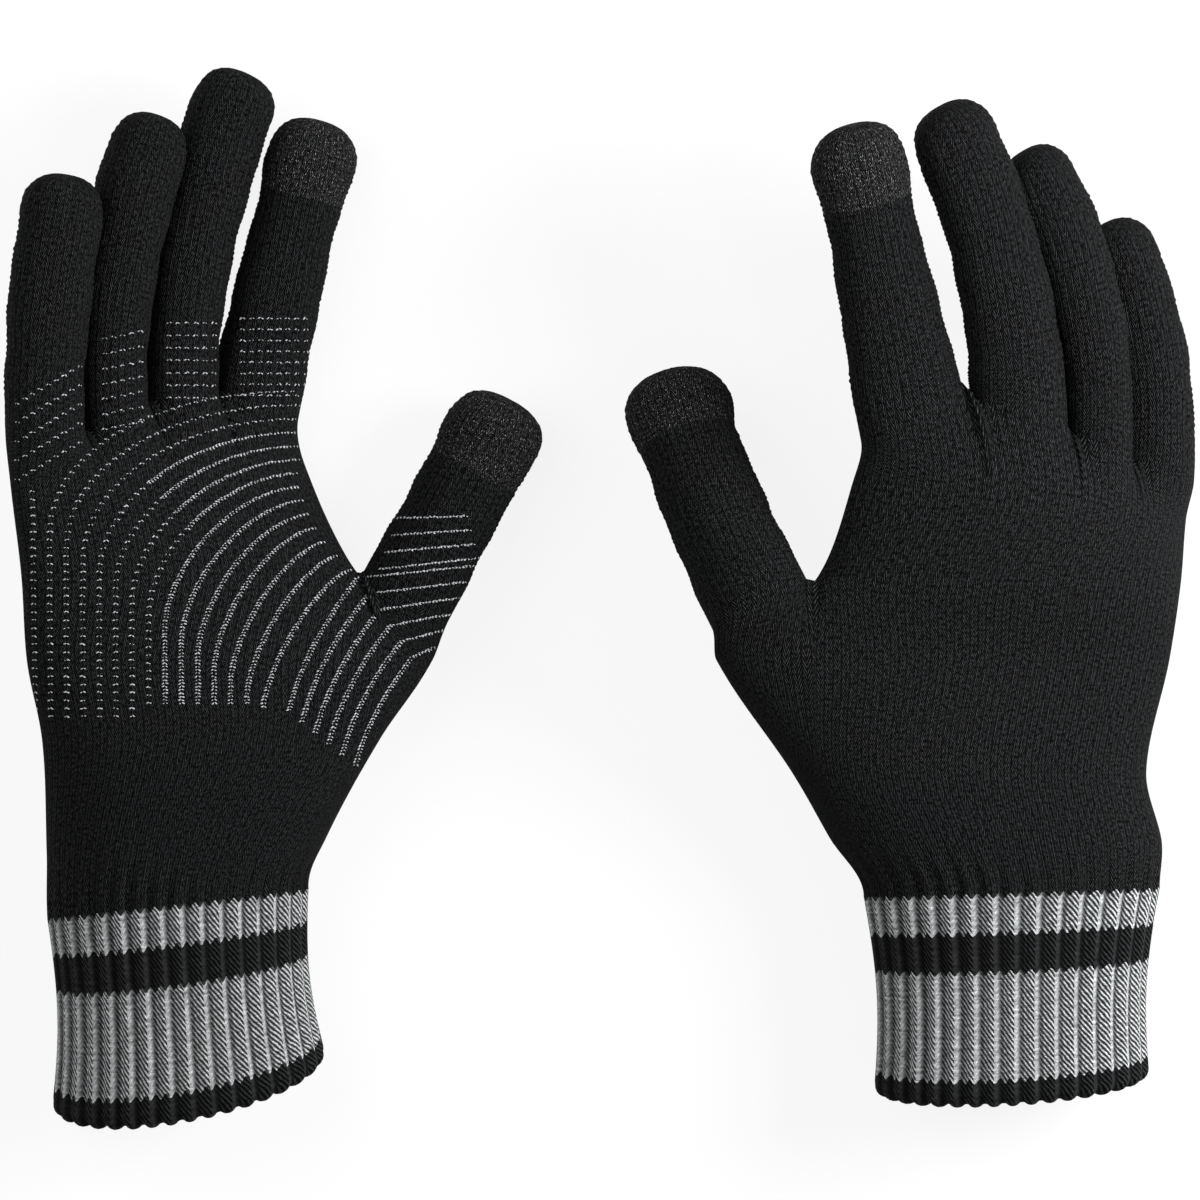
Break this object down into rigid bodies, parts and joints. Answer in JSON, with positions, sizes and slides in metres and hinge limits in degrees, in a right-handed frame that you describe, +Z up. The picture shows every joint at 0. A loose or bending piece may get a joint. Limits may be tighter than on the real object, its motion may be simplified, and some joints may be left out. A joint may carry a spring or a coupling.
{
  "type": "touchscreen gloves",
  "caption": "Pair of knitted touchscreen gloves with striped rib cuffs, one lying palm up and one back up, with bending finger stalls and conductive tips.",
  "frame": {"origin": "middle of the pair's footprint, on the table", "axes": "+X from the palm-up glove to the back-up glove, +Y from the cuffs to the fingertips, +Z up from the table"},
  "size_m": [0.2976, 0.2654, 0.0653],
  "materials": {
    "black_knit": "matte black plain knit",
    "touch_knit": "black knit with conductive flecks",
    "grey_knit": "mid grey one by one rib knit",
    "elastic": "covered elastic yarn",
    "grip_silicone": "clear printed silicone lines and dots"
  },
  "bodies": {
    "palm_up_glove": {"palm_up_hand": "black_knit", "palm_up_little_root": "black_knit", "palm_up_ring_root": "black_knit", "palm_up_middle_root": "black_knit", "palm_up_index_root": "black_knit", "palm_up_thumb_root": "black_knit", "palm_up_cuff_upper_stripe": "grey_knit", "palm_up_cuff_middle_stripe": "black_knit", "palm_up_cuff_lower_band": "grey_knit", "palm_up_cuff_hem": "black_knit", "palm_up_hem_elastic": "elastic"},
    "palm_up_little_finger": {"palm_up_little_stall": "black_knit"},
    "palm_up_ring_finger": {"palm_up_ring_stall": "black_knit"},
    "palm_up_middle_finger": {"palm_up_middle_stall": "black_knit"},
    "palm_up_index_finger": {"palm_up_index_stall": "black_knit", "palm_up_index_touch_tip": "touch_knit"},
    "palm_up_thumb": {"palm_up_thumb_stall": "black_knit", "palm_up_thumb_touch_tip": "touch_knit"},
    "back_up_glove": {"back_up_hand": "black_knit", "back_up_little_root": "black_knit", "back_up_ring_root": "black_knit", "back_up_middle_root": "black_knit", "back_up_index_root": "black_knit", "back_up_thumb_root": "black_knit", "back_up_cuff_upper_stripe": "grey_knit", "back_up_cuff_middle_stripe": "black_knit", "back_up_cuff_lower_band": "grey_knit", "back_up_cuff_hem": "black_knit", "back_up_hem_elastic": "elastic"},
    "back_up_little_finger": {"back_up_little_stall": "black_knit"},
    "back_up_ring_finger": {"back_up_ring_stall": "black_knit"},
    "back_up_middle_finger": {"back_up_middle_stall": "black_knit"},
    "back_up_index_finger": {"back_up_index_stall": "black_knit", "back_up_index_touch_tip": "touch_knit"},
    "back_up_thumb": {"back_up_thumb_stall": "black_knit", "back_up_thumb_touch_tip": "touch_knit"}
  },
  "joints": [
    {"name": "palm_up_little_bend", "type": "hinge", "parent": "palm_up_glove", "child": "palm_up_little_finger", "pos_m": [-0.13882, 0.04761, 0.04463], "axis": [0.8344, 0.1161, -0.5388], "range_deg": [0, 50], "deforming": ["palm_up_little_root"]},
    {"name": "palm_up_ring_bend", "type": "hinge", "parent": "palm_up_glove", "child": "palm_up_ring_finger", "pos_m": [-0.12279, 0.05219, 0.03037], "axis": [0.8344, 0.1161, -0.5388], "range_deg": [0, 50], "deforming": ["palm_up_ring_root"]},
    {"name": "palm_up_middle_bend", "type": "hinge", "parent": "palm_up_glove", "child": "palm_up_middle_finger", "pos_m": [-0.10577, 0.05647, 0.0186], "axis": [0.8344, 0.1161, -0.5388], "range_deg": [0, 50], "deforming": ["palm_up_middle_root"]},
    {"name": "palm_up_index_bend", "type": "hinge", "parent": "palm_up_glove", "child": "palm_up_index_finger", "pos_m": [-0.08506, 0.05508, 0.00992], "axis": [0.8344, 0.1161, -0.5388], "range_deg": [0, 50], "deforming": ["palm_up_index_root"]},
    {"name": "palm_up_thumb_bend", "type": "hinge", "parent": "palm_up_glove", "child": "palm_up_thumb", "pos_m": [-0.04719, 0.0052, 0.01073], "axis": [0.8875, -0.4608, 0], "range_deg": [0, 40], "deforming": ["palm_up_thumb_root"]},
    {"name": "back_up_little_bend", "type": "hinge", "parent": "back_up_glove", "child": "back_up_little_finger", "pos_m": [0.13865, 0.03872, 0.01075], "axis": [0.6752, 0.0034, -0.7376], "range_deg": [0, 35], "deforming": ["back_up_little_root"]},
    {"name": "back_up_ring_bend", "type": "hinge", "parent": "back_up_glove", "child": "back_up_ring_finger", "pos_m": [0.12346, 0.04471, 0.02731], "axis": [0.75, 0.0423, -0.66], "range_deg": [0, 35], "deforming": ["back_up_ring_root"]},
    {"name": "back_up_middle_bend", "type": "hinge", "parent": "back_up_glove", "child": "back_up_middle_finger", "pos_m": [0.10352, 0.05314, 0.04114], "axis": [0.9395, 0.1387, -0.3133], "range_deg": [0, 35], "deforming": ["back_up_middle_root"]},
    {"name": "back_up_index_bend", "type": "hinge", "parent": "back_up_glove", "child": "back_up_index_finger", "pos_m": [0.07573, 0.0529, 0.04177], "axis": [0.9748, 0.2217, -0.0251], "range_deg": [0, 35], "deforming": ["back_up_index_root"]},
    {"name": "back_up_thumb_bend", "type": "hinge", "parent": "back_up_glove", "child": "back_up_thumb", "pos_m": [0.03698, 0.00448, 0.0338], "axis": [0.8903, 0.4553, 0], "range_deg": [0, 30], "deforming": ["back_up_thumb_root"]},
    {"name": "back_up_glove_lift", "type": "slide", "parent": "palm_up_glove", "child": "back_up_glove", "axis": [0, 0, 1], "range_m": [0, 0.12]}
  ]
}
